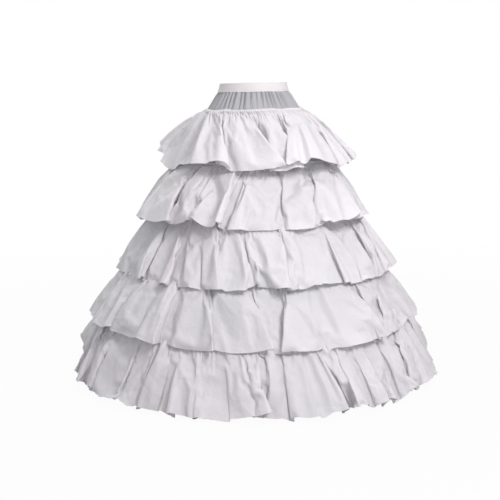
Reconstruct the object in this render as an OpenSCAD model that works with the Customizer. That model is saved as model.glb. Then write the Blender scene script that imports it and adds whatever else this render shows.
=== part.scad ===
// Hooped and ruffled petticoat, held open as it hangs when worn.
// Frame: origin in the middle of the waist opening, halfway up the elastic; +Z up; the wearer faces -Y.
// A "drop" is a depth below the top edge of the waist elastic. Millimetres throughout.

/* [Waist] */
// Inner diameter of the relaxed waist elastic
waist_d = 210; // [170:1:260]
// Width of the elastic band, top edge to bottom edge
band_h = 28; // [18:1:45]
// Thickness of the elastic at its top edge
band_t = 1.8; // [1:0.1:3]
// How far the gathered cloth caught in it pushes out the elastic's lower edge
gather_bulk = 5.2; // [3:0.1:10]
// Length of the lap where the ends of the elastic are sewn together, at the back
lap_len = 26; // [15:1:40]

/* [Base skirt] */
// Number of gores sewn into the base skirt
gore_count = 4; // [2:1:8]
// Drop of the first ruffle's seam, where the gathered hip of the skirt ends
hip_drop = 86; // [60:1:120]
// Diameter of the base skirt at the first ruffle's seam
hip_d = 300; // [250:1:370]
// Drop of the base skirt's hem
skirt_drop = 866; // [650:1:1100]
// Diameter of the base skirt at its hem
hem_d = 1086; // [800:1:1300]
// Thickness of a gore, with its gathers
cloth_t = 1.5; // [0.8:0.1:3]
// Height of the hem's turned-up fold
fold_h = 12; // [6:1:25]
// Thickness that the fold adds on the inside
fold_t = 1; // [0.5:0.1:2]

/* [Ruffles] */
// Number of ruffles
ruffle_count = 5; // [3:1:7]
// Height of the last ruffle's seam above the base skirt's hem
last_seam_up = 147; // [90:1:200]
// Length of every ruffle, straight from its seam to its hem
ruffle_len = 213; // [160:1:250]
// How far the hem of the first ruffle stands out from the base skirt
top_flare = 98; // [50:1:120]
// How far the hem of the last ruffle stands out from the base skirt
bottom_flare = 34; // [20:1:90]
// Thickness of a ruffle's puckered cloth
ruffle_t = 6; // [3:0.5:10]
// Height of the frill that stands above each ruffle's seam
heading_h = 7; // [3:1:12]
// Thickness of that frill
heading_t = 3; // [1.5:0.5:5]
// How far out a ruffle's curve has bent, as a share of the way to its hem
bend_out = 0.55; // [0.3:0.01:0.9]
// How far down that bend is, as a share of the way to its hem
bend_down = 0.33; // [0.1:0.01:0.6]

/* [Hoops] */
// Number of hoops
hoop_count = 4; // [2:1:6]
// Drop of the first hoop below the first ruffle's seam
first_hoop_down = 180; // [80:1:220]
// Height of the last hoop above the base skirt's hem
last_hoop_up = 50; // [30:1:80]
// Width of the coated steel strip
hoop_w = 7; // [4:0.5:10]
// Thickness of the coated steel strip
hoop_t = 1.2; // [0.8:0.1:2]
// Gap between the butted ends of a hoop
end_gap = 2; // [1:0.5:5]
// Length of the sleeve that joins the ends
joiner_len = 60; // [40:1:90]
// Wall of that sleeve
joiner_t = 0.6; // [0.4:0.1:1]

/* [Casings] */
// Thickness of the casing's tape
tape_t = 0.8; // [0.5:0.1:1.5]
// Width of each sewn-down edge of the tape
tape_edge = 6; // [4:0.5:10]
// Clearance round the joiner inside the casing
casing_room = 0.3; // [0.2:0.1:1]
// Length of the opening at the back, through which the hoop goes in
window_len = 90; // [70:1:120]

/* [Hidden] */
$fn = 96;

waist_r = waist_d / 2;
hip_r = hip_d / 2;
hem_r = hem_d / 2;
band_low_r = waist_r + band_t + gather_bulk;
back = 90; // direction of the wearer's back
skirt_slope = (hem_r - hip_r) / (skirt_drop - hip_drop);
skirt_angle = atan(skirt_slope);
seam_pitch = (skirt_drop - last_seam_up - hip_drop) / (ruffle_count - 1);
hoop_pitch = (skirt_drop - last_hoop_up - hip_drop - first_hoop_down) / (hoop_count - 1);
hoop_front = joiner_t + casing_room;
channel_in = hoop_t + 2 * hoop_front;
channel_half = hoop_w / 2 + hoop_front;
curve_steps = 10;

// Height of a drop in the frame.
function level(drop) = band_h / 2 - drop;

// Outer radius of the base skirt at a drop: a steep gathered hip, then one straight cone.
function wall_r(drop) = drop < hip_drop
    ? band_low_r + (hip_r - band_low_r) * (drop - band_h) / (hip_drop - band_h)
    : hip_r + skirt_slope * (drop - hip_drop);

// A point beside the cone: along it downwards, and inwards from its outer face.
function beside(drop, along, inward) = [
    wall_r(drop) + along * sin(skirt_angle) - inward * cos(skirt_angle),
    level(drop) - along * cos(skirt_angle) - inward * sin(skirt_angle)
];

// Depth of the cloth measured square to the cone.
cloth_in = cloth_t * cos(skirt_angle);

// Drops of the seams and hoops, how far each ruffle stands out, and where a hoop's middle runs.
function seam_drop(i) = hip_drop + (i - 1) * seam_pitch;
function hoop_drop(i) = hip_drop + first_hoop_down + (i - 1) * hoop_pitch;
function flare(i) = top_flare + (bottom_flare - top_flare) * (i - 1) / (ruffle_count - 1);
function middle_r(drop) = wall_r(drop) - (cloth_in + channel_in / 2) * cos(skirt_angle);

// Angle that a length takes up round a circle.
function turn(length, radius) = length / radius * 180 / PI;

// Depth from a ruffle's seam to its hem, whose spread and depth together span the ruffle's length.
function ruffle_drop(i) = let (f = flare(i), square = 1 + skirt_slope * skirt_slope)
    (sqrt(square * ruffle_len * ruffle_len - f * f) - skirt_slope * f) / square;

// A point of a quadratic curve, the direction along it there, and a point set off square to it.
function curve(p, t) = (1 - t) * (1 - t) * p[0] + 2 * t * (1 - t) * p[1] + t * t * p[2];
function direction(p, t) = let (d = (1 - t) * (p[1] - p[0]) + t * (p[2] - p[1])) d / norm(d);
function offset_curve(p, t, out) = let (d = direction(p, t)) curve(p, t) + out * [-d[1], d[0]];

// Turns a section about the waist's axis, over an angle centred on a direction.
module ring_part(centre, angle) {
    rotate([0, 0, centre - angle / 2]) rotate_extrude(angle = angle) children();
}

// A rectangle beside the cone, from one depth to another.
module beside_box(drop, half, inner, outer) {
    polygon([
        beside(drop, -half, inner), beside(drop, half, inner),
        beside(drop, half, outer), beside(drop, -half, outer)
    ]);
}

// Section of the elastic, wider at the lower edge, where it holds gathers. Its outer face can be moved out.
module band_section(extra) {
    polygon([
        [waist_r, level(band_h)], [band_low_r + extra, level(band_h)],
        [waist_r + band_t + extra, level(0)], [waist_r, level(0)]
    ]);
}

// Elastic webbing round the waist, double where its ends lap at the back.
module waist_elastic() {
    lap = turn(lap_len, waist_r);
    color("lavenderblush") union() {
        ring_part(back + 180, 360 - lap) band_section(0);
        ring_part(back, lap) band_section(band_t);
    }
}

// One gore of the base skirt: gathered hip, cone, and a hem turned up inside.
module gore(i) {
    sweep = 360 / gore_count;
    folded = cloth_t + fold_t;
    color("silver") ring_part(back + (i - 0.5) * sweep, sweep) polygon([
        [wall_r(band_h), level(band_h)],
        [wall_r(hip_drop), level(hip_drop)],
        [wall_r(skirt_drop), level(skirt_drop)],
        [wall_r(skirt_drop) - folded, level(skirt_drop)],
        [wall_r(skirt_drop - fold_h) - folded, level(skirt_drop - fold_h)],
        [wall_r(skirt_drop - fold_h) - cloth_t, level(skirt_drop - fold_h)],
        [wall_r(hip_drop) - cloth_t, level(hip_drop)],
        [wall_r(band_h) - cloth_t, level(band_h)]
    ]);
}

// One gathered ruffle: a frill above its seam, then a bell that stands out to its hem.
module ruffle(i) {
    seam = seam_drop(i);
    hem = seam + ruffle_drop(i);
    foot = seam + heading_t;
    start = [wall_r(foot) + ruffle_t / 2, level(foot)];
    end = [wall_r(hem) + flare(i) - ruffle_t / 2, level(hem) + ruffle_t / 2];
    bend = [start[0] + bend_out * (end[0] - start[0]), start[1] + bend_down * (end[1] - start[1])];
    path = [start, bend, end];
    steps = [for (k = [1:curve_steps]) k / curve_steps];
    above = seam - heading_h;
    color("white") rotate_extrude() polygon(concat(
        [[wall_r(above), level(above)], [wall_r(seam), level(seam)], [wall_r(foot), level(foot)]],
        [for (t = steps) offset_curve(path, t, -ruffle_t / 2)],
        [for (k = [curve_steps:-1:1]) offset_curve(path, k / curve_steps, ruffle_t / 2)],
        [[wall_r(seam) + heading_t, level(seam)], [wall_r(above) + heading_t, level(above)]]
    ));
}

// One casing: tape sewn inside the base skirt along both edges, raised over the hoop, open at the back.
module casing(i) {
    drop = hoop_drop(i);
    low = cloth_in;
    high = cloth_in + channel_in + tape_t;
    half = channel_half + tape_t;
    color("whitesmoke") difference() {
        rotate_extrude() polygon([
            beside(drop, -half - tape_edge, low), beside(drop, -channel_half, low),
            beside(drop, -channel_half, high - tape_t), beside(drop, channel_half, high - tape_t),
            beside(drop, channel_half, low), beside(drop, half + tape_edge, low),
            beside(drop, half + tape_edge, low + tape_t), beside(drop, half, low + tape_t),
            beside(drop, half, high), beside(drop, -half, high),
            beside(drop, -half, low + tape_t), beside(drop, -half - tape_edge, low + tape_t)
        ]);
        ring_part(back, turn(window_len, middle_r(drop)))
            beside_box(drop, half + tape_t, low + tape_t, high + tape_t);
    }
}

// One hoop: a coated steel strip whose ends butt at the back.
module hoop(i) {
    drop = hoop_drop(i);
    inner = cloth_in + hoop_front;
    color("gainsboro") ring_part(back + 180, 360 - turn(end_gap, middle_r(drop)))
        beside_box(drop, hoop_w / 2, inner, inner + hoop_t);
}

// One joiner: a flat sleeve crimped over both ends of its hoop.
module hoop_joiner(i) {
    drop = hoop_drop(i);
    inner = cloth_in + hoop_front;
    color("slategray") ring_part(back, turn(joiner_len, middle_r(drop))) difference() {
        beside_box(drop, hoop_w / 2 + joiner_t, inner - joiner_t, inner + hoop_t + joiner_t);
        beside_box(drop, hoop_w / 2, inner, inner + hoop_t);
    }
}

waist_elastic();
for (i = [1:gore_count]) gore(i);
for (i = [1:ruffle_count]) ruffle(i);
for (i = [1:hoop_count]) casing(i);
for (i = [1:hoop_count]) hoop(i);
for (i = [1:hoop_count]) hoop_joiner(i);
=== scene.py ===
"""The looks of a hooped and ruffled petticoat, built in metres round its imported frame."""
import logging
import math
from dataclasses import dataclass, field
from enum import Enum
from functools import cache

import bmesh
import bpy
import numpy as np
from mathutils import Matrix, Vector


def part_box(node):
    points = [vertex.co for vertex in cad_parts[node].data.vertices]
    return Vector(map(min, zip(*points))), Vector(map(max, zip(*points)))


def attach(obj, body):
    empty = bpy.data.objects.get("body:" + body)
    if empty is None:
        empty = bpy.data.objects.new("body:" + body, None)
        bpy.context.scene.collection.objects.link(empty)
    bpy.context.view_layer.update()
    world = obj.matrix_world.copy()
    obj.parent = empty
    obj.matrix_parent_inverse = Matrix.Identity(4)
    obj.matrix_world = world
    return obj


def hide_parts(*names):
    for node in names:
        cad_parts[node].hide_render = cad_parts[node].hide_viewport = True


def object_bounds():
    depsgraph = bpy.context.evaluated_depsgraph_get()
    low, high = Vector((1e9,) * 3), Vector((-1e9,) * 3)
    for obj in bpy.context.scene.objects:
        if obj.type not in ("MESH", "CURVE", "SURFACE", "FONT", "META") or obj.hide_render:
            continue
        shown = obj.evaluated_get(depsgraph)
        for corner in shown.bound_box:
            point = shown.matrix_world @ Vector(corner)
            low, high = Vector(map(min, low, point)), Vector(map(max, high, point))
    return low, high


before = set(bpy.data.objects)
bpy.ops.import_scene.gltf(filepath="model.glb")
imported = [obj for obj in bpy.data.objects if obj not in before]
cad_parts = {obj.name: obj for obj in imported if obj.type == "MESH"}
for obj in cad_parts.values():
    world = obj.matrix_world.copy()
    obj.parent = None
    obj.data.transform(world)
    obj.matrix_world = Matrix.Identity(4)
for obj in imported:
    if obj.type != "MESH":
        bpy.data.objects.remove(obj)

CAD_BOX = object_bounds()
BODY = "root"
TURN = 2 * math.pi
BACK = math.pi / 2
MM = 0.001
LEAN_SHIFT = 4 * MM
LEAN_TILT = 0.022
LEAN_DEPTH = 0.26
LOG = logging.getLogger("petticoat")


class Held(Enum):
    """How a sheet of cloth is held."""

    GATHERED = "gathered"
    STRETCHED = "stretched"


class Slot(Enum):
    """The record's material slots; no piece in this script takes its finish from them."""

    ELASTIC = "elastic"
    BASE_CLOTH = "base_cloth"
    RUFFLE_CLOTH = "ruffle_cloth"
    CASING_TAPE = "casing_tape"


# ---- sizes that the frame gives


def corners(node: str) -> np.ndarray:
    """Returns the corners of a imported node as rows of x, y and z.

    Args:
        node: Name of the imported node.
    """
    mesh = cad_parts[node].data
    flat = np.empty(3 * len(mesh.vertices))
    mesh.vertices.foreach_get("co", flat)
    return flat.reshape(-1, 3)


def outline(node: str) -> tuple[np.ndarray, np.ndarray]:
    """Finds the levels at which a turned node has corners, and how far out each level reaches.

    Args:
        node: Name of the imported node.

    Returns:
        The heights from low to high, and the largest radius at each.
    """
    points = corners(node)
    height = np.round(points[:, 2], 5)
    radius = np.hypot(points[:, 0], points[:, 1])
    levels = np.unique(height)
    return levels, np.array([radius[height == level].max() for level in levels])


@dataclass(frozen=True)
class Wall:
    """The outer face of the base skirt: heights from low to high, with the radius at each."""

    heights: np.ndarray
    radii: np.ndarray

    @classmethod
    def from_frame(cls) -> "Wall":
        """Reads the face from the first gore, leaving out levels that lie inside it.

        Returns:
            The face, whose ends are the hem and the elastic's lower edge.
        """
        levels, reach = outline("gore_1")
        last = len(levels) - 1
        outer = [
            i
            for i in range(1, last)
            if reach[i] > np.interp(levels[i], levels[[i - 1, i + 1]], reach[[i - 1, i + 1]])
        ]
        keep = [0, *outer, last]
        return cls(levels[keep], reach[keep])

    @property
    def hem(self) -> float:
        """Height of the base skirt's hem."""
        return float(self.heights[0])

    @property
    def top(self) -> float:
        """Height of the elastic's lower edge."""
        return float(self.heights[-1])

    @property
    def slope(self) -> float:
        """How fast the cone widens for each metre down."""
        return float((self.radii[0] - self.radii[1]) / (self.heights[1] - self.heights[0]))

    def radius(self, height: np.ndarray | float) -> np.ndarray:
        """Radius of the face at a height, continued straight below the hem.

        Args:
            height: One height, or many.

        Returns:
            A radius for each height.
        """
        inside = np.interp(height, self.heights, self.radii)
        return inside + np.maximum(self.hem - np.asarray(height), 0) * self.slope


# ---- mesh helpers


def ring(radius: np.ndarray, height: np.ndarray, angle: np.ndarray) -> np.ndarray:
    """Turns radii, heights and angles into points.

    Args:
        radius: Distance from the axis.
        height: Height in the frame.
        angle: Angle from +X, in radians.

    Returns:
        Points, with x, y and z last.
    """
    radius, height, angle = np.broadcast_arrays(radius, height, angle)
    return np.stack([radius * np.cos(angle), radius * np.sin(angle), height], axis=-1)


def lean(points: np.ndarray) -> np.ndarray:
    """Leans the waist a little to one side, less and less down to the second ruffle.

    Args:
        points: Points as they hang straight.

    Returns:
        The same points, leaning.
    """
    part = np.clip(1 + points[..., 2] / LEAN_DEPTH, 0, 1)
    part = part * part * (3 - 2 * part)
    moved = points.copy()
    moved[..., 0] -= LEAN_SHIFT * part
    moved[..., 2] += LEAN_TILT * points[..., 0] * part
    return moved


def refine(grid: np.ndarray) -> np.ndarray:
    """Doubles a grid that closes on itself sideways, on a smooth curve through its points.

    Args:
        grid: Rows of points, the columns running round.

    Returns:
        The finer grid.
    """
    side = (9 * (grid + np.roll(grid, -1, 1)) - np.roll(grid, 1, 1) - np.roll(grid, -2, 1)) / 16
    wide = np.stack([grid, side], axis=2).reshape(grid.shape[0], -1, 3)
    padded = np.concatenate([2 * wide[:1] - wide[1:2], wide, 2 * wide[-1:] - wide[-2:-1]])
    middle = (9 * (padded[1:-2] + padded[2:-1]) - padded[:-3] - padded[3:]) / 16
    tall = np.empty((2 * len(wide) - 1, *wide.shape[1:]))
    tall[0::2] = wide
    tall[1::2] = middle
    return tall


def grid_normals(grid: np.ndarray) -> np.ndarray:
    """Finds the unit normals of a grid that closes on itself sideways.

    Args:
        grid: Rows of points, the columns running round.

    Returns:
        A normal for each point.
    """
    across = np.roll(grid, -1, 1) - np.roll(grid, 1, 1)
    down = np.gradient(grid, axis=0)
    normal = np.cross(down, across)
    return normal / np.maximum(np.linalg.norm(normal, axis=-1, keepdims=True), 1e-9)


def link(name: str, data: bpy.types.ID) -> bpy.types.Object:
    """Makes an object of a mesh, a light or a camera, and links it into the scene."""
    made = bpy.data.objects.new(name, data)
    bpy.context.collection.objects.link(made)
    return made


def sheet_object(
    name: str,
    grid: np.ndarray,
    closed: bool,
    size: tuple[float, float],
    holes: np.ndarray | None = None,
) -> bpy.types.Object:
    """Makes one layer of cloth from a grid, with a UV map in metres of flat cloth.

    Args:
        name: Name of the piece.
        grid: Rows of points, from the top row down.
        closed: Whether the last column joins the first.
        size: Width and length of the flat cloth.
        holes: Which faces to leave out, by row and column.

    Returns:
        The object, linked into the scene.
    """
    grid = lean(grid)
    rows, cols = grid.shape[:2]
    wide = cols if closed else cols - 1
    row, col = np.meshgrid(np.arange(rows - 1), np.arange(wide), indexing="ij")
    if holes is not None:
        row, col = row[~holes], col[~holes]
    row, col = row.ravel(), col.ravel()
    nearby = (col + 1) % cols
    here, below = row * cols, (row + 1) * cols
    faces = np.stack([here + col, below + col, below + nearby, here + nearby], axis=1)
    mesh = bpy.data.meshes.new(name)
    mesh.from_pydata(grid.reshape(-1, 3).tolist(), [], faces.tolist())
    across = np.stack([col, col, col + 1, col + 1], axis=1) * size[0] / wide
    along = np.stack([row, row + 1, row + 1, row], axis=1) * size[1] / (rows - 1)
    uv = np.stack([across, -along], axis=-1).reshape(-1)
    mesh.uv_layers.new(name="cloth").data.foreach_set("uv", uv)
    mesh.polygons.foreach_set("use_smooth", np.ones(len(mesh.polygons), dtype=bool))
    mesh.validate()
    mesh.update()
    return link(name, mesh)


def path_object(name: str, paths: list[np.ndarray], closed: bool) -> bpy.types.Object:
    """Makes an object of bare edges, one run for each path.

    Args:
        name: Name of the object.
        paths: Points of each run.
        closed: Whether each run joins up.

    Returns:
        The object, linked into the scene.
    """
    points, edges = [], []
    for path in paths:
        first, count = len(points), len(path)
        points += lean(path).tolist()
        steps = count if closed else count - 1
        edges += [(first + i, first + (i + 1) % count) for i in range(steps)]
    mesh = bpy.data.meshes.new(name)
    mesh.from_pydata(points, edges, [])
    return link(name, mesh)


def smooth_random(
    rng: np.random.Generator, count: int, knots: int, low: float, high: float
) -> np.ndarray:
    """Random values that change smoothly round a circle.

    Args:
        rng: Source of the draws.
        count: How many values to return.
        knots: How many values are drawn.
        low: Least value.
        high: Greatest value.

    Returns:
        The values, the last one next to the first.
    """
    drawn = rng.uniform(low, high, knots)
    place = np.arange(count) * knots / count
    left = place.astype(int)
    part = place - left
    part = part * part * (3 - 2 * part)
    return drawn[left % knots] * (1 - part) + drawn[(left + 1) % knots] * part


# ---- stitches and edges, by geometry nodes


class NodeTree:
    """A small writer of geometry and shader trees."""

    def __init__(self, tree: bpy.types.NodeTree) -> None:
        """Keeps the tree that is being written."""
        self.tree = tree

    @classmethod
    def group(
        cls, name: str, kind: str, inputs: dict[str, tuple], outputs: dict[str, str]
    ) -> tuple["NodeTree", bpy.types.bpy_prop_collection]:
        """Starts a node group with named inputs and outputs.

        Args:
            name: Name of the group.
            kind: Type of its tree.
            inputs: Kind and default of each input, by name.
            outputs: Kind of each output, by name.

        Returns:
            The writer, and what the group is given.
        """
        made = cls(bpy.data.node_groups.new(name, kind))
        for label, (socket, default) in inputs.items():
            made.socket(label, socket, default)
        for label, socket in outputs.items():
            made.socket(label, socket, output=True)
        return made, made.node("NodeGroupInput").outputs

    @classmethod
    def material(cls, name: str) -> tuple[bpy.types.Material, "NodeTree"]:
        """Starts an empty material.

        Args:
            name: Name of the material.

        Returns:
            The material, and the writer of its nodes.
        """
        made = bpy.data.materials.new(name)
        made.use_nodes = True
        made.node_tree.nodes.clear()
        return made, cls(made.node_tree)

    def node(self, kind: str, values: dict | None = None, **settings: object) -> bpy.types.Node:
        """Adds a node.

        Args:
            kind: The node's type name.
            values: Input values or links, by input name or index.
            **settings: The node's own properties.

        Returns:
            The new node.
        """
        made = self.tree.nodes.new(kind)
        for key, value in settings.items():
            setattr(made, key, value)
        for key, value in (values or {}).items():
            if isinstance(value, bpy.types.NodeSocket):
                self.tree.links.new(value, made.inputs[key])
            else:
                made.inputs[key].default_value = value
        return made

    def math(self, operation: str, first: object, second: object = 0.0) -> bpy.types.NodeSocket:
        """Adds a Math node and returns its result."""
        return self.node("ShaderNodeMath", {0: first, 1: second}, operation=operation).outputs[0]

    def mix(self, factor: object, first: object, second: object) -> bpy.types.NodeSocket:
        """Adds a colour Mix node and returns its result."""
        made = self.node("ShaderNodeMix", {0: factor, 6: first, 7: second}, data_type="RGBA")
        return made.outputs[2]

    def socket(self, name: str, kind: str, default: object = None, output: bool = False) -> None:
        """Adds a named input or output to the tree.

        Args:
            name: Name of the socket.
            kind: Its type, such as Float.
            default: Its default value, where it has one.
            output: Whether it is an output.
        """
        made = self.tree.interface.new_socket(
            name=name, in_out="OUTPUT" if output else "INPUT", socket_type="NodeSocket" + kind
        )
        if default is not None:
            made.default_value = default


@dataclass(frozen=True)
class Stitching:
    """Rows of thread that follow paths: how far apart, how long and how thick the stitches are."""

    pitch: float = 4.2 * MM
    length: float = 3.0 * MM
    thread: float = 0.45 * MM
    swing: float = 0.0
    seed: int = 4

    @staticmethod
    @cache
    def tree() -> bpy.types.NodeTree:
        """Returns the tree that sets stitches along edges, made when it is first asked for."""
        sizes = {label: ("Float", MM) for label in ("Pitch", "Length", "Thread", "Swing")}
        inputs = {
            "Geometry": ("Geometry", None), **sizes, "Seed": ("Int", 0), "Finish": ("Material", None)
        }
        made, given = NodeTree.group(
            "stitch_rows", "GeometryNodeTree", inputs, {"Geometry": "Geometry"}
        )
        curve = made.node("GeometryNodeMeshToCurve", {0: given["Geometry"]}).outputs[0]
        spread = made.node(
            "GeometryNodeResampleCurve", {"Curve": curve, "Length": given["Pitch"]}, mode="LENGTH"
        )
        tangent = made.node("GeometryNodeInputTangent").outputs[0]
        index = made.node("GeometryNodeInputIndex").outputs[0]
        twice = made.math("MULTIPLY", made.math("MODULO", index, 2.0), 2.0)
        side = made.math("SUBTRACT", twice, 1.0)
        shake = made.node(
            "FunctionNodeRandomValue", {2: -0.12, 3: 0.12, "Seed": given["Seed"]}, data_type="FLOAT"
        ).outputs[1]
        tilt = made.math("ADD", made.math("MULTIPLY", side, given["Swing"]), shake)
        aim = made.node("FunctionNodeAlignRotationToVector", {"Vector": tangent}, axis="X")
        swing = made.node("ShaderNodeCombineXYZ", {"Z": tilt, "Y": tilt}).outputs[0]
        turned = made.node(
            "FunctionNodeRotateRotation",
            {"Rotation": aim.outputs[0], "Rotate By": swing},
            rotation_space="LOCAL",
        )
        thread = made.node("GeometryNodeMeshIcoSphere", {"Radius": 0.5, "Subdivisions": 1})
        thick = given["Thread"]
        size = made.node("ShaderNodeCombineXYZ", {"X": given["Length"], "Y": thick, "Z": thick})
        points = made.node(
            "GeometryNodeInstanceOnPoints",
            {
                "Points": spread.outputs[0],
                "Instance": thread.outputs[0],
                "Rotation": turned.outputs[0],
                "Scale": size.outputs[0],
            },
        )
        end_tree(made, points, given["Finish"])
        return made.tree

    def sew(
        self, name: str, paths: list[np.ndarray], closed: bool, finish: bpy.types.Material
    ) -> bpy.types.Object:
        """Sews along paths.

        Args:
            name: Name of the piece.
            paths: Points of each row of stitches.
            closed: Whether each row joins up.
            finish: The thread's material.

        Returns:
            The thread, as one plain mesh.
        """
        values = {
            "Pitch": self.pitch,
            "Length": self.length,
            "Thread": self.thread,
            "Swing": self.swing,
            "Seed": self.seed,
            "Finish": finish,
        }
        return run_tree(self.tree(), name, path_object(name, paths, closed), values)


@dataclass(frozen=True)
class Piping:
    """A rolled edge that follows the rim of a sheet."""

    radius: float = 0.9 * MM
    sides: int = 6

    @staticmethod
    @cache
    def tree() -> bpy.types.NodeTree:
        """Returns the tree that rolls an edge along a path, made when it is first asked for."""
        inputs = {
            "Geometry": ("Geometry", None),
            "Radius": ("Float", MM),
            "Sides": ("Int", 6),
            "Seed": ("Int", 0),
            "Finish": ("Material", None),
        }
        made, given = NodeTree.group(
            "rolled_edge", "GeometryNodeTree", inputs, {"Geometry": "Geometry"}
        )
        curve = made.node("GeometryNodeMeshToCurve", {0: given["Geometry"]}).outputs[0]
        uneven = made.node(
            "FunctionNodeRandomValue", {2: 0.8, 3: 1.2, "Seed": given["Seed"]}, data_type="FLOAT"
        ).outputs[1]
        swollen = made.node("GeometryNodeSetCurveRadius", {"Curve": curve, "Radius": uneven})
        circle = made.node(
            "GeometryNodeCurvePrimitiveCircle",
            {"Resolution": given["Sides"], "Radius": given["Radius"]},
        )
        tube = made.node(
            "GeometryNodeCurveToMesh",
            {"Curve": swollen.outputs[0], "Profile Curve": circle.outputs[0]},
        )
        end_tree(made, tube, given["Finish"])
        return made.tree

    def roll(self, name: str, path: np.ndarray, finish: bpy.types.Material) -> bpy.types.Object:
        """Rolls an edge along a path that joins up.

        Args:
            name: Name of the piece.
            path: Points of the path.
            finish: The edge's material.

        Returns:
            The edge, as one plain mesh.
        """
        values = {"Radius": self.radius, "Sides": self.sides, "Seed": 2, "Finish": finish}
        return run_tree(self.tree(), name, path_object(name, [path], True), values)


def end_tree(made: NodeTree, last: bpy.types.Node, finish: bpy.types.NodeSocket) -> None:
    """Ends a geometry tree: instances made real, and the finish put on.

    Args:
        made: The tree that is being written.
        last: The node that gives the shape.
        finish: The material that the tree is given.
    """
    whole = made.node("GeometryNodeRealizeInstances", {0: last.outputs[0]}).outputs[0]
    done = made.node("GeometryNodeSetMaterial", {"Geometry": whole, "Material": finish})
    made.node("NodeGroupOutput", {"Geometry": done.outputs[0]})


def run_tree(
    tree: bpy.types.NodeTree, name: str, path: bpy.types.Object, values: dict[str, object]
) -> bpy.types.Object:
    """Runs a geometry tree on an object of edges.

    Args:
        tree: The tree to run.
        name: Name of the piece that comes out.
        path: The object of edges, which is removed.
        values: Values of the tree's inputs, by name.

    Returns:
        A plain mesh object without modifiers.
    """
    modifier = path.modifiers.new(tree.name, "NODES")
    modifier.node_group = tree
    for item in tree.interface.items_tree:
        if item.item_type == "SOCKET" and item.in_out == "INPUT" and item.name in values:
            modifier[item.identifier] = values[item.name]
    evaluated = path.evaluated_get(bpy.context.evaluated_depsgraph_get())
    mesh = bpy.data.meshes.new_from_object(evaluated)
    bpy.data.objects.remove(path)
    mesh.name = name
    mesh.polygons.foreach_set("use_smooth", np.ones(len(mesh.polygons), dtype=bool))
    return link(name, mesh)


# ---- finishes


@cache
def weave_group() -> bpy.types.NodeTree:
    """Plain weave: crossing threads as a height, and how deep between them a point lies."""
    inputs = {
        "Vector": ("Vector", None),
        "Threads per metre": ("Float", 2500.0),
        "Unevenness": ("Float", 0.3),
    }
    made, given = NodeTree.group(
        "Weave", "ShaderNodeTree", inputs, {"Height": "Float", "Gaps": "Float"}
    )
    slub = made.node(
        "ShaderNodeTexNoise", {"Vector": given["Vector"], "Scale": 90.0, "Detail": 3.0}
    )
    bend = made.math("MULTIPLY", made.math("SUBTRACT", slub.outputs[0], 0.5), given["Unevenness"])
    split = made.node("ShaderNodeSeparateXYZ", {0: given["Vector"]}).outputs
    waves = []
    for axis in (0, 1):
        count = made.math("MULTIPLY", split[axis], given["Threads per metre"])
        wave = made.math("SINE", made.math("MULTIPLY", made.math("ADD", count, bend), math.pi))
        waves.append(made.math("ABSOLUTE", wave))
    height = made.math("MAXIMUM", waves[0], waves[1])
    gaps = made.math("SUBTRACT", 1.0, made.math("MULTIPLY", waves[0], waves[1]))
    made.node("NodeGroupOutput", {"Height": height, "Gaps": gaps})
    return made.tree


@cache
def crumple_group() -> bpy.types.NodeTree:
    """Small creases of crisp cloth: ridges between flat facets, at two sizes."""
    inputs = {"Vector": ("Vector", None), "Creases per metre": ("Float", 14.0)}
    made, given = NodeTree.group("Crumple", "ShaderNodeTree", inputs, {"Height": "Float"})
    vector = given["Vector"]
    drift = made.node("ShaderNodeTexNoise", {"Vector": vector, "Scale": 9.0, "Detail": 2.0})
    moved = made.node(
        "ShaderNodeVectorMath", {0: drift.outputs[1], "Scale": 0.12}, operation="SCALE"
    )
    place = made.node("ShaderNodeVectorMath", {0: vector, 1: moved.outputs[0]}, operation="ADD")
    layers = []
    for share, weight in ((1.0, 0.7), (2.7, 0.3)):
        scale = made.math("MULTIPLY", given["Creases per metre"], share)
        cells = made.node(
            "ShaderNodeTexVoronoi", {"Vector": place.outputs[0], "Scale": scale}, feature="F2"
        )
        layers.append(made.math("MULTIPLY", cells.outputs["Distance"], weight))
    made.node("NodeGroupOutput", {"Height": made.math("ADD", *layers)})
    return made.tree


@cache
def tone_group() -> bpy.types.NodeTree:
    """Slow drift between two shades of one colour, with a little dust in fine grain."""
    inputs = {
        "Vector": ("Vector", None),
        "Light shade": ("Color", (0.9, 0.9, 0.9, 1)),
        "Dark shade": ("Color", (0.8, 0.8, 0.8, 1)),
        "Patches per metre": ("Float", 4.0),
        "Grain": ("Float", 0.1),
    }
    made, given = NodeTree.group("Tone", "ShaderNodeTree", inputs, {"Color": "Color"})
    vector = given["Vector"]
    slow = made.node(
        "ShaderNodeTexNoise", {"Vector": vector, "Scale": given["Patches per metre"], "Detail": 4.0}
    )
    fine = made.node("ShaderNodeTexNoise", {"Vector": vector, "Scale": 700.0, "Detail": 2.0})
    grain = made.math("MULTIPLY", made.math("SUBTRACT", fine.outputs[0], 0.5), given["Grain"])
    share = made.node(
        "ShaderNodeMapRange", {"Value": made.math("ADD", slow.outputs[0], grain), 1: 0.3, 2: 0.7}
    ).outputs[0]
    colour = made.mix(share, given["Dark shade"], given["Light shade"])
    made.node("NodeGroupOutput", {"Color": colour})
    return made.tree


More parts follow.
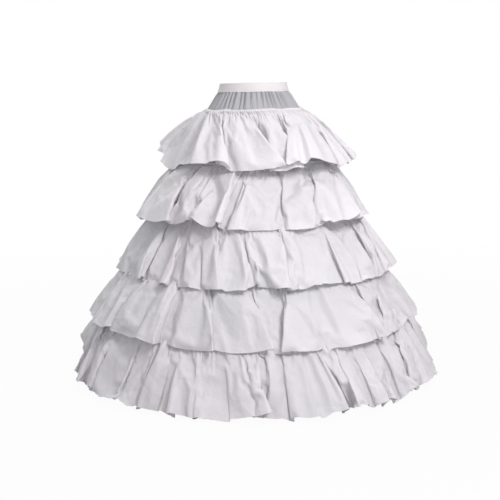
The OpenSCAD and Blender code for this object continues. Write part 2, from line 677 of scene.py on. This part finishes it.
@dataclass(frozen=True)
class Cloth:
    """A woven finish: its two shades, its threads, its creases and how much light passes."""

    name: str
    light: tuple[float, float, float]
    dark: tuple[float, float, float]
    threads: float = 2600.0
    weave_depth: float = 0.08 * MM
    creases: float = 17.0
    crease_depth: float = 4.5 * MM
    roughness: float = 0.62
    sheen: float = 0.25
    passes: float = 0.22

    def make(self) -> bpy.types.Material:
        """Builds the material.

        Returns:
            The cloth's material.
        """
        material, made = NodeTree.material(self.name)
        threads = made.node("ShaderNodeUVMap", uv_map="cloth").outputs[0]
        place = made.node("ShaderNodeTexCoord").outputs["Object"]
        weave = made.node(
            "ShaderNodeGroup",
            {"Vector": threads, "Threads per metre": self.threads},
            node_tree=weave_group(),
        ).outputs
        crumple = made.node(
            "ShaderNodeGroup",
            {"Vector": place, "Creases per metre": self.creases},
            node_tree=crumple_group(),
        ).outputs
        dark = (*self.dark, 1)
        tone = made.node(
            "ShaderNodeGroup",
            {"Vector": place, "Light shade": (*self.light, 1), "Dark shade": dark},
            node_tree=tone_group(),
        ).outputs
        # Painted shade: the colour darkens up to a tenth of the way to the dark shade in the gaps
        # between threads, where they lie deep.
        shaded = made.mix(made.math("MULTIPLY", weave["Gaps"], 0.10), tone["Color"], dark)
        rough = made.math("ADD", made.math("MULTIPLY", weave["Gaps"], 0.12), self.roughness - 0.06)
        creased = made.node(
            "ShaderNodeBump", {"Height": crumple[0], "Distance": self.crease_depth}
        ).outputs[0]
        woven = made.node(
            "ShaderNodeBump",
            {
                "Height": weave["Height"],
                "Distance": self.weave_depth,
                "Strength": 0.5,
                "Normal": creased,
            },
        ).outputs[0]
        shader = made.node(
            "ShaderNodeBsdfPrincipled",
            {
                "Base Color": shaded,
                "Roughness": rough,
                "Normal": woven,
                "Sheen Weight": self.sheen,
                "Sheen Roughness": 0.4,
                "Specular IOR Level": 0.25,
            },
        ).outputs[0]
        through = made.node(
            "ShaderNodeBsdfTranslucent", {"Color": shaded, "Normal": woven}
        ).outputs[0]
        both = made.node("ShaderNodeMixShader", {0: self.passes, 1: shader, 2: through})
        made.node("ShaderNodeOutputMaterial", {0: both.outputs[0]})
        return material


@dataclass(frozen=True)
class Hard:
    """A coated or metal finish: its two shades, its scuffs and its gloss."""

    name: str
    light: tuple[float, float, float]
    dark: tuple[float, float, float]
    metallic: float
    roughness: float
    coat: float = 0.0
    streaks: float = 180.0

    def make(self) -> bpy.types.Material:
        """Builds the material.

        Returns:
            The hard finish's material.
        """
        material, made = NodeTree.material(self.name)
        place = made.node("ShaderNodeTexCoord").outputs["Object"]
        tone = made.node(
            "ShaderNodeGroup",
            {
                "Vector": place,
                "Light shade": (*self.light, 1),
                "Dark shade": (*self.dark, 1),
                "Patches per metre": 22.0,
            },
            node_tree=tone_group(),
        ).outputs
        drawn = made.node("ShaderNodeMapping", {"Vector": place, "Scale": (1.0, 1.0, 14.0)})
        scuff = made.node(
            "ShaderNodeTexNoise",
            {"Vector": drawn.outputs[0], "Scale": self.streaks, "Detail": 5.0},
        ).outputs[0]
        rough = made.math("ADD", made.math("MULTIPLY", scuff, 0.25), self.roughness - 0.12)
        bump = made.node("ShaderNodeBump", {"Height": scuff, "Distance": 0.06 * MM})
        shader = made.node(
            "ShaderNodeBsdfPrincipled",
            {
                "Base Color": tone["Color"],
                "Roughness": rough,
                "Normal": bump.outputs[0],
                "Metallic": self.metallic,
                "Coat Weight": self.coat,
            },
        )
        made.node("ShaderNodeOutputMaterial", {0: shader.outputs[0]})
        return material


@dataclass(frozen=True)
class Finishes:
    """Every finish of the petticoat, ready to put on a piece."""

    ruffle: bpy.types.Material
    base: bpy.types.Material
    elastic: bpy.types.Material
    tape: bpy.types.Material
    thread: bpy.types.Material
    hoop: bpy.types.Material
    joiner: bpy.types.Material

    @classmethod
    def make(cls) -> "Finishes":
        """Builds all the materials."""
        return cls(
            ruffle=Cloth("crisp_taffeta", (0.90, 0.87, 0.895), (0.84, 0.835, 0.865)).make(),
            # Painted shade: the lining's two shades are a mid grey that paints the shade of the
            # skirt's dark inside, seen through the thin cloth.
            base=Cloth(
                "thin_lining_painted_shade",
                (0.50, 0.505, 0.535),
                (0.42, 0.425, 0.455),
                creases=9.0,
                sheen=0.1,
                passes=0.12,
            ).make(),
            elastic=Cloth(
                "ribbed_elastic",
                (0.80, 0.768, 0.778),
                (0.73, 0.705, 0.718),
                threads=1300.0,
                weave_depth=0.25 * MM,
                creases=30.0,
                crease_depth=0.15 * MM,
                roughness=0.75,
                passes=0.03,
            ).make(),
            tape=Cloth(
                "casing_tape",
                (0.84, 0.84, 0.86),
                (0.78, 0.78, 0.81),
                threads=1800.0,
                creases=25.0,
                crease_depth=0.3 * MM,
                roughness=0.8,
                passes=0.05,
            ).make(),
            thread=Hard(
                "sewing_thread", (0.90, 0.89, 0.90), (0.80, 0.80, 0.82), 0.0, 0.6, streaks=2500.0
            ).make(),
            hoop=Hard(
                "hoop_coating", (0.86, 0.86, 0.85), (0.80, 0.80, 0.79), 0.0, 0.32, coat=0.3
            ).make(),
            joiner=Hard("crimped_sleeve", (0.66, 0.67, 0.69), (0.52, 0.53, 0.55), 1.0, 0.36).make(),
        )


def dress(
    piece: bpy.types.Object, finish: bpy.types.Material | None = None
) -> bpy.types.Object:
    """Puts a finish on a new piece and makes it ride with the petticoat.

    Args:
        piece: The piece.
        finish: The material, where the piece hasn't one yet.

    Returns:
        The piece.
    """
    if finish is not None:
        piece.data.materials.clear()
        piece.data.materials.append(finish)
    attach(piece, BODY)
    LOG.info("%s: %d faces", piece.name, len(piece.data.polygons))
    return piece


# ---- ruffles


@dataclass
class Ruffle:
    """One gathered strip: its seam, its hem and the folds that it falls into.

    Fine gathers are pucker deep at the seam and end at the share gathered of the strip. Soft
    folds are crimp deep. The strip keeps clear of the base skirt, and over_next more at its hem,
    where it hangs over the next ruffle. The bell shares say how soon it swings out and down.
    """

    number: int
    wall: Wall
    fold_width: float
    flare: tuple[float, float]
    seed: int
    step: float = 12 * MM
    pucker: float = 5.2 * MM
    crimp: float = 7 * MM
    clear: float = 3.5 * MM
    over_next: float = 11 * MM
    deepest: float = 38 * MM
    most_lap: float = 0.42
    longest_lap: float = 55 * MM
    gathered: float = 0.45
    bell_out: float = 0.50
    bell_down: float = 0.40
    slack: float = 1.02
    opening: tuple[float, float] = (0.55, 0.85)
    grid: np.ndarray = field(init=False)

    def __post_init__(self) -> None:
        """Reads the ruffle's place from its node and lays it out as it hangs."""
        levels, reach = outline(self.node)
        self.heading, self.seam, self.hem = levels[-1], levels[-2], levels[0]
        self.reach = float(reach.max())
        self.rng = np.random.default_rng(self.seed)
        self.lay_out()

    @property
    def node(self) -> str:
        """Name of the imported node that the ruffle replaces."""
        return f"ruffle_{self.number}"

    def fold_plan(self, around: float, deep: float) -> np.ndarray:
        """Draws the folds at the hem: flat panels between narrow valleys, some lapped.

        Args:
            around: Length of the circle that the folds fill.
            deep: How far the folds go out and in from that circle.

        Returns:
            Rows of distance round the circle, distance outwards, flare and sideways lean.
        """
        draw = self.rng.uniform
        widths = draw(0.5, 1.5, round(around / self.fold_width))
        widths *= around / widths.sum()
        rows, start = [], 0.0
        for width in widths:
            out, flare, lean = draw(0.5, 1.1), draw(*self.flare), draw(-30, 30) * MM
            lap = min(draw(0.0, self.most_lap) * width, self.longest_lap)
            near, far = -lap, width * draw(0.62, 0.85)
            corners_here = [
                (draw(0.02, 0.10) * width, -draw(0.6, 1.0)),
                (near, out * draw(0.9, 1.15)),
                (near + (far - near) * draw(0.35, 0.65), out * draw(0.65, 1.2)),
                (far, out * draw(0.2, 0.9)),
                (width * draw(0.90, 0.98), -draw(0.5, 1.0)),
            ]
            if draw() < 0.5:
                corners_here = [(width - along, high) for along, high in corners_here[::-1]]
            for along, high in corners_here:
                rows.append((start + along, high * deep, flare * draw(0.86, 1.14), lean))
            start += width
        return np.array(rows)

    def lay_out(self) -> None:
        """Works out the strip's points: a frill, fine gathers at the seam, then growing folds."""
        start_r = float(self.wall.radius(self.seam)) + self.pucker + 2 * MM
        deep = min(0.5 * (self.reach - float(self.wall.radius(self.hem))), self.deepest)
        mean_reach = self.reach - deep
        around = TURN * mean_reach
        plan = self.fold_plan(around, deep)
        closing = np.vstack([plan, plan[0] + [around, 0, 0, 0]])
        runs = np.hypot(*np.diff(closing[:, :2], axis=0).T)
        self.strip = float(runs.sum())  # along every fold, so the length of the flat strip
        travelled = np.concatenate([[0], np.cumsum(runs)]) / self.strip
        cols = int(self.strip / self.step) // 2 * 2
        even = np.arange(cols) / cols
        share = even.copy()
        share[np.round(travelled[:-1] * cols).astype(int) % cols] = travelled[:-1] % 1
        place, out, flare, lean = (np.interp(share, travelled, column) for column in closing.T)
        turned = (place / around - even) + lean / around

        spread = (mean_reach - start_r) * flare
        length = math.hypot(self.reach - start_r, self.seam - self.hem)
        fall = np.sqrt(np.maximum(length**2 - (spread + 0.4 * out) ** 2, (0.5 * length) ** 2))
        self.cut = length * self.slack
        rows = round(self.cut / self.step)
        t = (np.arange(rows + 1) / rows)[:, None]
        radius = start_r + spread * (2 * t * (1 - t) * self.bell_out + t * t)
        height = self.seam - fall * (2 * t * (1 - t) * self.bell_down + t * t)
        grow = t ** self.rng.uniform(*self.opening)
        near_seam = np.clip(1 - t / self.gathered, 0, 1) ** 1.6
        pleat = (-1.0) ** np.arange(cols) * self.rng.uniform(0.6, 1.15, cols)
        soft = np.clip(np.minimum(t / 0.3, (1.3 - t) / 0.7), 0, 1)
        crimp = smooth_random(self.rng, cols, cols // 4, -1, 1)
        offset = out * grow + self.pucker * pleat * near_seam + self.crimp * crimp * soft
        angle = TURN * (even + turned * t**0.62)
        nearest = self.wall.radius(height) + self.clear + self.over_next * t
        body = ring(np.maximum(radius + offset, nearest), height, angle)

        frill_r = self.wall.radius(self.heading) + (2.8 + 2.0 * pleat) * MM
        frill_z = self.heading + smooth_random(self.rng, cols, cols // 9, -2.5, 2.5) * MM
        self.grid = np.concatenate([ring(frill_r, frill_z, TURN * even)[None], body])

    def finish(self, finishes: Finishes) -> None:
        """Args:
            finishes: The petticoat's materials.
        """
        fine = refine(self.grid)
        size = (self.strip, self.cut + self.heading - self.seam)
        cloth = sheet_object(self.node + "_cloth", fine, True, size)
        dress(cloth, finishes.ruffle)
        edge = Piping().roll(self.node + "_hem", fine[-1], finishes.ruffle)
        dress(edge)
        seam = fine[2] + 0.5 * MM * grid_normals(fine)[2]
        thread = Stitching().sew(self.node + "_stitches", [seam], True, finishes.thread)
        dress(thread)
        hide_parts(self.node)
        showing = sum(face.area for face in cloth.data.polygons) / (size[0] * size[1])
        LOG.info("%s: %.2f m by %.3f m flat, %.2f of it showing", self.node, *size, showing)


@dataclass
class Drape:
    """Lets the ruffles settle as one cloth over the base skirt."""

    ruffles: list[Ruffle]
    wall: Wall
    frames: int = 20
    gravity: float = 0.45
    stiffness: float = 40.0
    shear: float = 12.0
    bending: float = 0.6
    spare: float = 0.02
    skin: float = 2.5 * MM

    def form(self) -> bpy.types.Object:
        """Makes the smooth cone that the cloth falls against.

        Returns:
            The cone, with its collision.
        """
        heights = np.linspace(self.wall.top, self.wall.hem - 0.08, 24)[:, None]
        angles = np.arange(120)[None] * TURN / 120
        cone = sheet_object("form", ring(self.wall.radius(heights), heights, angles), True, (1, 1))
        cone.modifiers.new("form", "COLLISION")
        cone.collision.thickness_outer = self.skin
        cone.collision.cloth_friction = 5
        return cone

    def cloth(self) -> bpy.types.Object:
        """Joins the ruffles into one mesh, with their seams pinned.

        Returns:
            The joined cloth.
        """
        points, faces, pinned = [], [], []
        for ruffle in self.ruffles:
            first = sum(map(len, points))
            rows, cols = ruffle.grid.shape[:2]
            row, col = np.meshgrid(np.arange(rows - 1), np.arange(cols), indexing="ij")
            here = first + row * cols + col
            beside = first + row * cols + (col + 1) % cols
            quads = np.stack([here, here + cols, beside + cols, beside], axis=-1)
            faces.append(quads.reshape(-1, 4))
            points.append(ruffle.grid.reshape(-1, 3))
            pinned += range(first, first + 2 * cols)
        mesh = bpy.data.meshes.new("drape")
        mesh.from_pydata(np.concatenate(points).tolist(), [], np.concatenate(faces).tolist())
        made = link("drape", mesh)
        made.vertex_groups.new(name="seam").add(pinned, 1.0, "REPLACE")
        return made

    def settle(self) -> None:
        """Runs the cloth and gives each ruffle its settled points."""
        cone, made = self.form(), self.cloth()
        modifier = made.modifiers.new("cloth", "CLOTH")
        cloth, contact = modifier.settings, modifier.collision_settings
        cloth.quality, cloth.mass, cloth.air_damping = 6, 0.1, 3
        cloth.tension_stiffness = cloth.compression_stiffness = self.stiffness
        cloth.shear_stiffness, cloth.bending_stiffness = self.shear, self.bending
        cloth.tension_damping = cloth.compression_damping = 10
        cloth.vertex_group_mass, cloth.pin_stiffness = "seam", 1.0
        cloth.bending_model, cloth.shrink_min = "ANGULAR", -self.spare
        cloth.effector_weights.gravity = self.gravity
        contact.distance_min, contact.collision_quality = self.skin, 2
        contact.use_self_collision, contact.self_distance_min = True, 2 * MM
        scene = bpy.context.scene
        scene.frame_start = modifier.point_cache.frame_start = 1
        scene.frame_end = modifier.point_cache.frame_end = self.frames
        for number in range(1, self.frames + 1):
            scene.frame_set(number)
        evaluated = made.evaluated_get(bpy.context.evaluated_depsgraph_get())
        flat = np.empty(3 * len(evaluated.data.vertices))
        evaluated.data.vertices.foreach_get("co", flat)
        points, first = flat.reshape(-1, 3), 0
        for ruffle in self.ruffles:
            count = ruffle.grid.shape[0] * ruffle.grid.shape[1]
            ruffle.grid = points[first : first + count].reshape(ruffle.grid.shape)
            first += count
        bpy.data.objects.remove(made)
        bpy.data.objects.remove(cone)
        scene.frame_set(1)


# ---- base skirt


@dataclass
class BaseSkirt:
    """Four gores of thin cloth: gathered at the hip, smooth over the hoops, with a turned hem."""

    wall: Wall
    hoops: list[float]
    gores: int = 4
    top_folds: int = 46
    low_folds: int = 33
    fold_depth: float = 8.5 * MM
    fullness: float = 1.12
    cols: int = 720
    seed: int = 21

    def __post_init__(self) -> None:
        """Starts the random draws."""
        self.rng = np.random.default_rng(self.seed)

    def folds(self, count: int) -> np.ndarray:
        """Draws folds round the skirt: rounded crests between narrow valleys.

        Args:
            count: How many folds.

        Returns:
            How far out each column lies, from -1 to 1.
        """
        widths = self.rng.uniform(0.45, 1.6, count)
        edges = np.concatenate([[0], np.cumsum(widths)]) / widths.sum()
        share = np.arange(self.cols) / self.cols
        which = np.clip(np.searchsorted(edges, share, side="right") - 1, 0, count - 1)
        part = (share - edges[which]) / (edges[which + 1] - edges[which])
        height = self.rng.uniform(0.35, 1.1, count)[which]
        return (2 * np.abs(np.sin(math.pi * part)) ** 0.6 - 1) * height

    def grid(self) -> np.ndarray:
        """Works out the points of the whole skirt, its turned-up hem last.

        Returns:
            Rows of points, from the elastic down.
        """
        fall = self.wall.top - self.wall.hem
        near = np.linspace(0, 0.16, 41)[:-1]
        drops = np.concatenate([near, np.linspace(0.16, fall, 60)])
        height = (self.wall.top - drops)[:, None]
        share = np.arange(self.cols) / self.cols
        levels = [0, 0.012, 0.05, 0.10, 0.17, fall]
        reach = np.interp(drops, levels, [0.6, 1.2, 0.9, 0.5, 0.12, 0.1])[:, None]
        lower = np.interp(drops, [0.01, 0.11], [0, 1])[:, None]
        pleats = (1 - lower) * self.folds(self.top_folds) + lower * self.folds(self.low_folds)
        taut = sum(np.exp(-(((height - hoop) / 0.05) ** 2)) for hoop in self.hoops)
        sway = smooth_random(self.rng, self.cols, 26, -2.2, 0.4) * MM * (1 - np.clip(taut, 0, 1))
        sway = sway * np.interp(drops, [0.05, 0.2], [0, 1])[:, None]
        folds = reach * self.fold_depth * (pleats - 0.6)
        radius = self.wall.radius(height) - 1.0 * MM + folds + sway
        hip = np.sin(math.pi * np.clip(drops / 0.2, 0, 1))[:, None]
        drift = 0.010 * smooth_random(self.rng, self.cols, 40, -1, 1) * hip
        skirt = ring(radius, height, TURN * share + drift)
        return np.concatenate([skirt, self.turned_hem(skirt[-1])])

    def turned_hem(self, edge: np.ndarray) -> np.ndarray:
        """Rolls the hem inwards and up behind the skirt.

        Args:
            edge: Points of the skirt's lower edge.

        Returns:
            Further rows of points.
        """
        inward = -edge / np.linalg.norm(edge[:, :2], axis=1, keepdims=True)
        inward[:, 2] = 0
        rise = np.array([0.0, 0.0, 1.0])
        steps = ((0.6, -0.3), (1.2, 0.6), (1.9, 6.0), (3.4, 11.5))
        return np.stack([edge + inward * a * MM + rise * b * MM for a, b in steps])

    def build(self, finishes: Finishes) -> None:
        """Cuts the skirt into gores, dresses them, and sews their seams and hem.

        Args:
            finishes: The petticoat's materials.
        """
        grid = self.grid()
        quarter = self.cols // self.gores
        start = round(self.cols * BACK / TURN)
        seams = []
        for number in range(1, self.gores + 1):
            first = start + (number - 1) * quarter
            part = np.take(grid, range(first, first + quarter + 1), axis=1, mode="wrap")
            length = float(np.linalg.norm(np.diff(part[:, 0], axis=0), axis=1).sum())
            size = (self.wall.radii[0] * TURN / self.gores, length)
            piece = sheet_object(f"gore_{number}_cloth", part, False, size)
            dress(piece, finishes.base)
            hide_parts(f"gore_{number}")
            seams.append(part[:-4, 0] * [0.995, 0.995, 1])
        thread = Stitching(seed=8).sew("gore_stitches", seams, False, finishes.thread)
        dress(thread)
        hem = grid[-2] - [0, 0, 2 * MM]
        row = Stitching(pitch=6 * MM, seed=9)
        dress(row.sew("skirt_hem_stitches", [hem], True, finishes.thread))


# ---- waist


@dataclass
class Waistband:
    """Ribbed elastic with its ends lapped at the back and zigzag stitching over the gathers."""

    rib_pitch: float = 2.3 * MM
    rib_depth: float = 0.35 * MM
    rib_steps: int = 6
    cols: int = 264
    seed: int = 31

    def __post_init__(self) -> None:
        """Reads the band's section from its node."""
        levels, _ = outline("waist_elastic")
        points = corners("waist_elastic")
        front = points[points[:, 1] < 0]
        radius = np.hypot(front[:, 0], front[:, 1])
        self.low, self.high = float(levels[0]), float(levels[-1])
        self.inner = float(radius.min())
        self.low_r = float(radius[front[:, 2] < self.low + MM].max())
        self.high_r = float(radius[front[:, 2] > self.high - MM].max())
        self.rng = np.random.default_rng(self.seed)

    def section(self) -> np.ndarray:
        """Works out the band's section: down the ribbed outside, and up the smoother inside.

        Returns:
            Rows of radius and height.
        """
        high = self.high - self.low
        count = round(high / self.rib_pitch) * self.rib_steps
        part = np.linspace(0, 1, count + 1)
        ribs = self.rib_depth * (np.abs(np.sin(math.pi * part * high / self.rib_pitch)) - 0.5)
        outside = self.high_r + part * (self.low_r - self.high_r) + ribs
        outer = np.stack([outside, self.high - part * high], axis=1)
        inside = np.linspace(1, 0, 13)
        inner = np.stack([np.full(13, self.inner) + 0.3 * MM, self.high - inside * high], axis=1)
        return np.concatenate([outer, inner])

    def build(self, finishes: Finishes) -> None:
        """Makes the band, its lap and its stitches.

        Args:
            finishes: The petticoat's materials.
        """
        section = self.section()
        share = np.arange(self.cols) / self.cols
        wave = smooth_random(self.rng, self.cols, 44, -1, 1)
        slow = smooth_random(self.rng, self.cols, 9, -1, 1)
        low = np.clip((self.high - section[:, 1]) / (self.high - self.low), 0, 1)[:, None]
        radius = section[:, :1] + (0.35 * wave * low**2 + 0.3 * slow - 1.8 * (1 - low)) * MM
        height = section[:, 1:] + (0.35 * wave * low + 0.4 * slow) * MM
        grid = ring(radius, height, TURN * share)
        closed = np.concatenate([grid, grid[:1]])
        size = (TURN * self.inner, self.high - self.low)
        band = sheet_object("waist_elastic_band", closed, True, (size[0], 2 * size[1]))
        merge(band)
        dress(band, finishes.elastic)
        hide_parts("waist_elastic")
        lap = self.lap()
        dress(lap, finishes.elastic)
        rows = [self.around(part) for part in (0.78, 0.92)]
        zigzag = Stitching(pitch=2.2 * MM, length=3.0 * MM, thread=0.42 * MM, swing=0.75)
        thread = zigzag.sew("waist_stitches", rows, True, finishes.thread)
        dress(thread)

    def around(self, part: float) -> np.ndarray:
        """Works out points that run round the band, just outside its ribs.

        Args:
            part: Share of the way from the top edge to the lower one.

        Returns:
            The points.
        """
        radius = self.high_r + part * (self.low_r - self.high_r) + 0.55 * MM
        height = self.high - part * (self.high - self.low)
        return ring(radius, height, np.arange(360) * TURN / 360)

    def lap(self) -> bpy.types.Object:
        """Makes the outer end of the elastic, lapped over the other end at the back.

        Returns:
            The lap.
        """
        points = corners("waist_elastic")
        raised = points[np.hypot(points[:, 0], points[:, 1]) > self.low_r + MM]
        half = float(np.abs(np.arctan2(raised[:, 0], raised[:, 1])).max())
        extra = float(np.hypot(raised[:, 0], raised[:, 1]).max()) - self.low_r
        high = self.high - self.low
        outside = self.section()[: round(high / self.rib_pitch) * self.rib_steps + 1]
        angles = np.linspace(BACK - half, BACK + half, 15)
        rise = np.full(15, extra)
        rise[[0, -1]] = 0
        grid = ring(outside[:, :1] + rise + 0.05 * MM, outside[:, 1:], angles)
        return sheet_object("waist_elastic_lap", grid, False, (2 * half * self.high_r, high))


def merge(piece: bpy.types.Object) -> None:
    """Merges the points of a piece that lie on each other.

    Args:
        piece: The piece.
    """
    work = bmesh.new()
    work.from_mesh(piece.data)
    bmesh.ops.remove_doubles(work, verts=work.verts, dist=1e-6)
    work.to_mesh(piece.data)
    work.free()


# ---- hoops and casings


@dataclass
class Casing:
    """One channel of tape sewn inside the base skirt, over a hoop, with its opening at the back."""

    number: int
    wall: Wall
    seed: int = 41

    def __post_init__(self) -> None:
        """Reads the channel's section and its opening from its node."""
        points = corners(self.node)
        radius = np.hypot(points[:, 0], points[:, 1])
        self.slant = math.atan(self.wall.slope)
        sine, cosine = math.sin(self.slant), math.cos(self.slant)
        low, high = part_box(self.node)
        self.middle = (low[2] + high[2]) / 2
        self.centre = float(self.wall.radius(self.middle))
        outward, upward = radius - self.centre, points[:, 2] - self.middle
        along = outward * sine - upward * cosine
        inward = -outward * cosine - upward * sine
        self.shift = float((along.max() + along.min()) / 2)
        self.half = float(along.max() - self.shift)
        self.near, self.far = float(inward.min()), float(inward.max())
        raised = inward > self.far - 0.1 * MM
        self.ridge = float(np.abs(along[raised] - self.shift).max())
        angle = np.abs(np.arctan2(points[raised, 0], points[raised, 1]))
        self.window = float(angle.min())
        self.rng = np.random.default_rng(self.seed + self.number)

    @property
    def node(self) -> str:
        """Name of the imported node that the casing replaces."""
        return f"casing_{self.number}"

    def place(self, along: np.ndarray, inward: np.ndarray, angle: np.ndarray) -> np.ndarray:
        """Works out points beside the cone of the base skirt.

        Args:
            along: Distance down the cone from the tape's middle.
            inward: Distance inwards from the cone's outer face.
            angle: Angle round the axis.

        Returns:
            The points.
        """
        sine, cosine = math.sin(self.slant), math.cos(self.slant)
        along = np.asarray(along) + self.shift
        radius = self.centre + along * sine - np.asarray(inward) * cosine
        return ring(radius, self.middle - along * cosine - np.asarray(inward) * sine, angle)

    def build(self, finishes: Finishes) -> None:
        """Makes the tape and its two rows of stitches.

        Args:
            finishes: The petticoat's materials.
        """
        cols = round(TURN * self.centre / (7 * MM))
        share = np.arange(cols) / cols
        tape = self.near + 0.8 * MM
        soft = 0.5 * MM
        side = np.array([self.half, self.ridge + 1.5 * MM, self.ridge, self.ridge - soft])
        along = np.concatenate([-side, [0], side[::-1]])
        slope = np.array([tape, tape, tape + soft, self.far - soft / 2])
        rise = np.concatenate([slope, [self.far], slope[::-1]])
        ripple = smooth_random(self.rng, cols, cols // 5, -0.35, 0.35) * MM
        grid = self.place(along[:, None], rise[:, None] + 0.4 * ripple, TURN * share[None])
        grid[..., 2] += ripple * 0.6
        middle = TURN * (np.arange(cols) + 0.5) / cols
        off_back = np.abs((middle - BACK + math.pi) % TURN - math.pi)
        holes = np.zeros((len(along) - 1, cols), dtype=bool)
        holes[2:-2] = off_back < self.window
        size = (TURN * self.centre, 2 * self.half + 2 * (self.far - tape))
        piece = sheet_object(self.node + "_tape", grid, True, size, holes)
        dress(piece, finishes.tape)
        edge = self.half - 2 * MM
        circle = np.arange(cols) * TURN / cols
        rows = [self.place(side * edge, tape + 0.35 * MM, circle) for side in (-1, 1)]
        stitching = Stitching(pitch=5 * MM, seed=self.number)
        thread = stitching.sew(self.node + "_stitches", rows, True, finishes.thread)
        dress(thread)
        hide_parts(self.node)


def dress_hoops(finishes: Finishes) -> list[float]:
    """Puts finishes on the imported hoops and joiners.

    Args:
        finishes: The petticoat's materials.

    Returns:
        The height of each hoop.
    """
    heights = []
    for name, piece in sorted(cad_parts.items()):
        if not name.startswith("hoop"):
            continue
        finish = finishes.joiner if "joiner" in name else finishes.hoop
        piece.data.materials.clear()
        piece.data.materials.append(finish)
        if "joiner" not in name:
            low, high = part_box(name)
            heights.append((low[2] + high[2]) / 2)
    return heights


# ---- studio


@dataclass(frozen=True)
class Studio:
    """A pale floor, soft lights and a camera at the height of the waist."""

    distance: float = 3.075
    eye: float = -0.002
    side: float = -0.014
    tilt: float = math.radians(9.6)
    lens: float = 69.0
    aim: float = -0.45
    backdrop: float = 0.60

    def camera(self) -> None:
        """Sets the camera in front of the petticoat, looking slightly down."""
        data = bpy.data.cameras.new("camera")
        data.lens = self.lens
        made = link("camera", data)
        made.location = (self.side, -self.distance, self.eye)
        made.rotation_euler = (math.pi / 2 - self.tilt, 0, 0)
        bpy.context.scene.camera = made

    def light(
        self,
        name: str,
        place: tuple[float, float, float],
        size: float,
        energy: float,
        colour: tuple[float, float, float],
    ) -> None:
        """Adds a soft square light that faces the petticoat.

        Args:
            name: Name of the light.
            place: Where it hangs.
            size: Length of its side.
            energy: Its power, in watts.
            colour: Its colour.
        """
        data = bpy.data.lights.new(name, "AREA")
        data.size, data.energy, data.color = size, energy, colour
        made = link(name, data)
        made.location = place
        made.visible_camera = False
        aim = Vector((0, 0, self.aim)) - made.location
        made.rotation_euler = aim.to_track_quat("-Z", "Y").to_euler()

    def floor(self, height: float) -> None:
        """Lays a pale disc that fades into the backdrop.

        Args:
            height: Height of the disc.
        """
        angles = np.arange(96) * TURN / 96
        radii = np.array([0.001, 0.6, 1.2, 2.4, 4.0])[:, None]
        rows = ring(radii, np.full_like(radii, height), angles[None])[::-1]
        disc = sheet_object("floor", rows, True, (1, 1))
        material, made = NodeTree.material("pale_floor")
        place = made.node("ShaderNodeTexCoord").outputs["Object"]
        away = made.node("ShaderNodeVectorMath", {0: place}, operation="LENGTH").outputs["Value"]
        fade = made.node("ShaderNodeMapRange", {"Value": away, 1: 1.1, 2: 3.2}).outputs[0]
        matt = made.node("ShaderNodeBsdfDiffuse", {"Color": (0.50, 0.50, 0.52, 1)}).outputs[0]
        lit = made.node("ShaderNodeEmission", {"Color": (1.0, 1.0, 1.0, 1)}).outputs[0]
        seen = made.node("ShaderNodeLightPath").outputs["Is Camera Ray"]
        glow = made.math("MULTIPLY", seen, 0.96)
        pale = made.node("ShaderNodeMixShader", {0: glow, 1: matt, 2: lit}).outputs[0]
        clear = made.node("ShaderNodeBsdfTransparent").outputs[0]
        both = made.node("ShaderNodeMixShader", {0: fade, 1: pale, 2: clear})
        made.node("ShaderNodeOutputMaterial", {0: both.outputs[0]})
        disc.data.materials.append(material)

    def world(self) -> None:
        """Makes the white backdrop, which lights the cloth more softly than it shows."""
        world = bpy.data.worlds.new("backdrop")
        world.use_nodes = True
        world.node_tree.nodes.clear()
        made = NodeTree(world.node_tree)
        seen = made.node("ShaderNodeLightPath").outputs["Is Camera Ray"]
        strength = made.node("ShaderNodeMapRange", {"Value": seen, 3: self.backdrop, 4: 1.0})
        back = made.node(
            "ShaderNodeBackground",
            {"Color": (1.0, 1.0, 1.0, 1), "Strength": strength.outputs[0]},
        )
        made.node("ShaderNodeOutputWorld", {0: back.outputs[0]})
        bpy.context.scene.world = world

    def build(self) -> None:
        """Sets up the whole studio."""
        self.camera()
        self.world()
        self.light("key", (0.75, -1.6, 0.7), 0.6, 22, (1.0, 0.96, 0.975))
        self.light("top", (0.3, 0.4, 2.6), 1.6, 14, (1.0, 0.98, 1.0))
        self.light("back", (-1.6, 2.4, 1.4), 1.8, 22, (0.96, 0.98, 1.0))
        self.floor(CAD_BOX[0][2] - 30 * MM)
        bpy.context.scene.view_settings.view_transform = "Standard"


# ---- the whole petticoat


def main() -> None:
    """Builds every piece of the petticoat."""
    logging.basicConfig(level=logging.INFO, format="%(name)s: %(message)s")
    wall = Wall.from_frame()
    finishes = Finishes.make()
    Studio().build()
    hoops = dress_hoops(finishes)
    Waistband().build(finishes)
    BaseSkirt(wall, hoops).build(finishes)
    for number in range(1, len(hoops) + 1):
        Casing(number, wall).build(finishes)
    ruffles = [
        Ruffle(1, wall, fold_width=0.140, flare=(1.02, 1.40), seed=1, opening=(0.45, 0.7)),
        Ruffle(2, wall, fold_width=0.126, flare=(0.84, 1.26), seed=2),
        Ruffle(3, wall, fold_width=0.122, flare=(0.82, 1.24), seed=13),
        Ruffle(4, wall, fold_width=0.118, flare=(0.82, 1.22), seed=14),
        Ruffle(
            5,
            wall,
            fold_width=0.078,
            flare=(0.77, 0.96),
            seed=15,
            pucker=6.5 * MM,
            crimp=8 * MM,
            over_next=6 * MM,
        ),
    ]
    Drape(ruffles, wall).settle()
    for ruffle in ruffles:
        ruffle.finish(finishes)


if __name__ == "__main__":
    main()
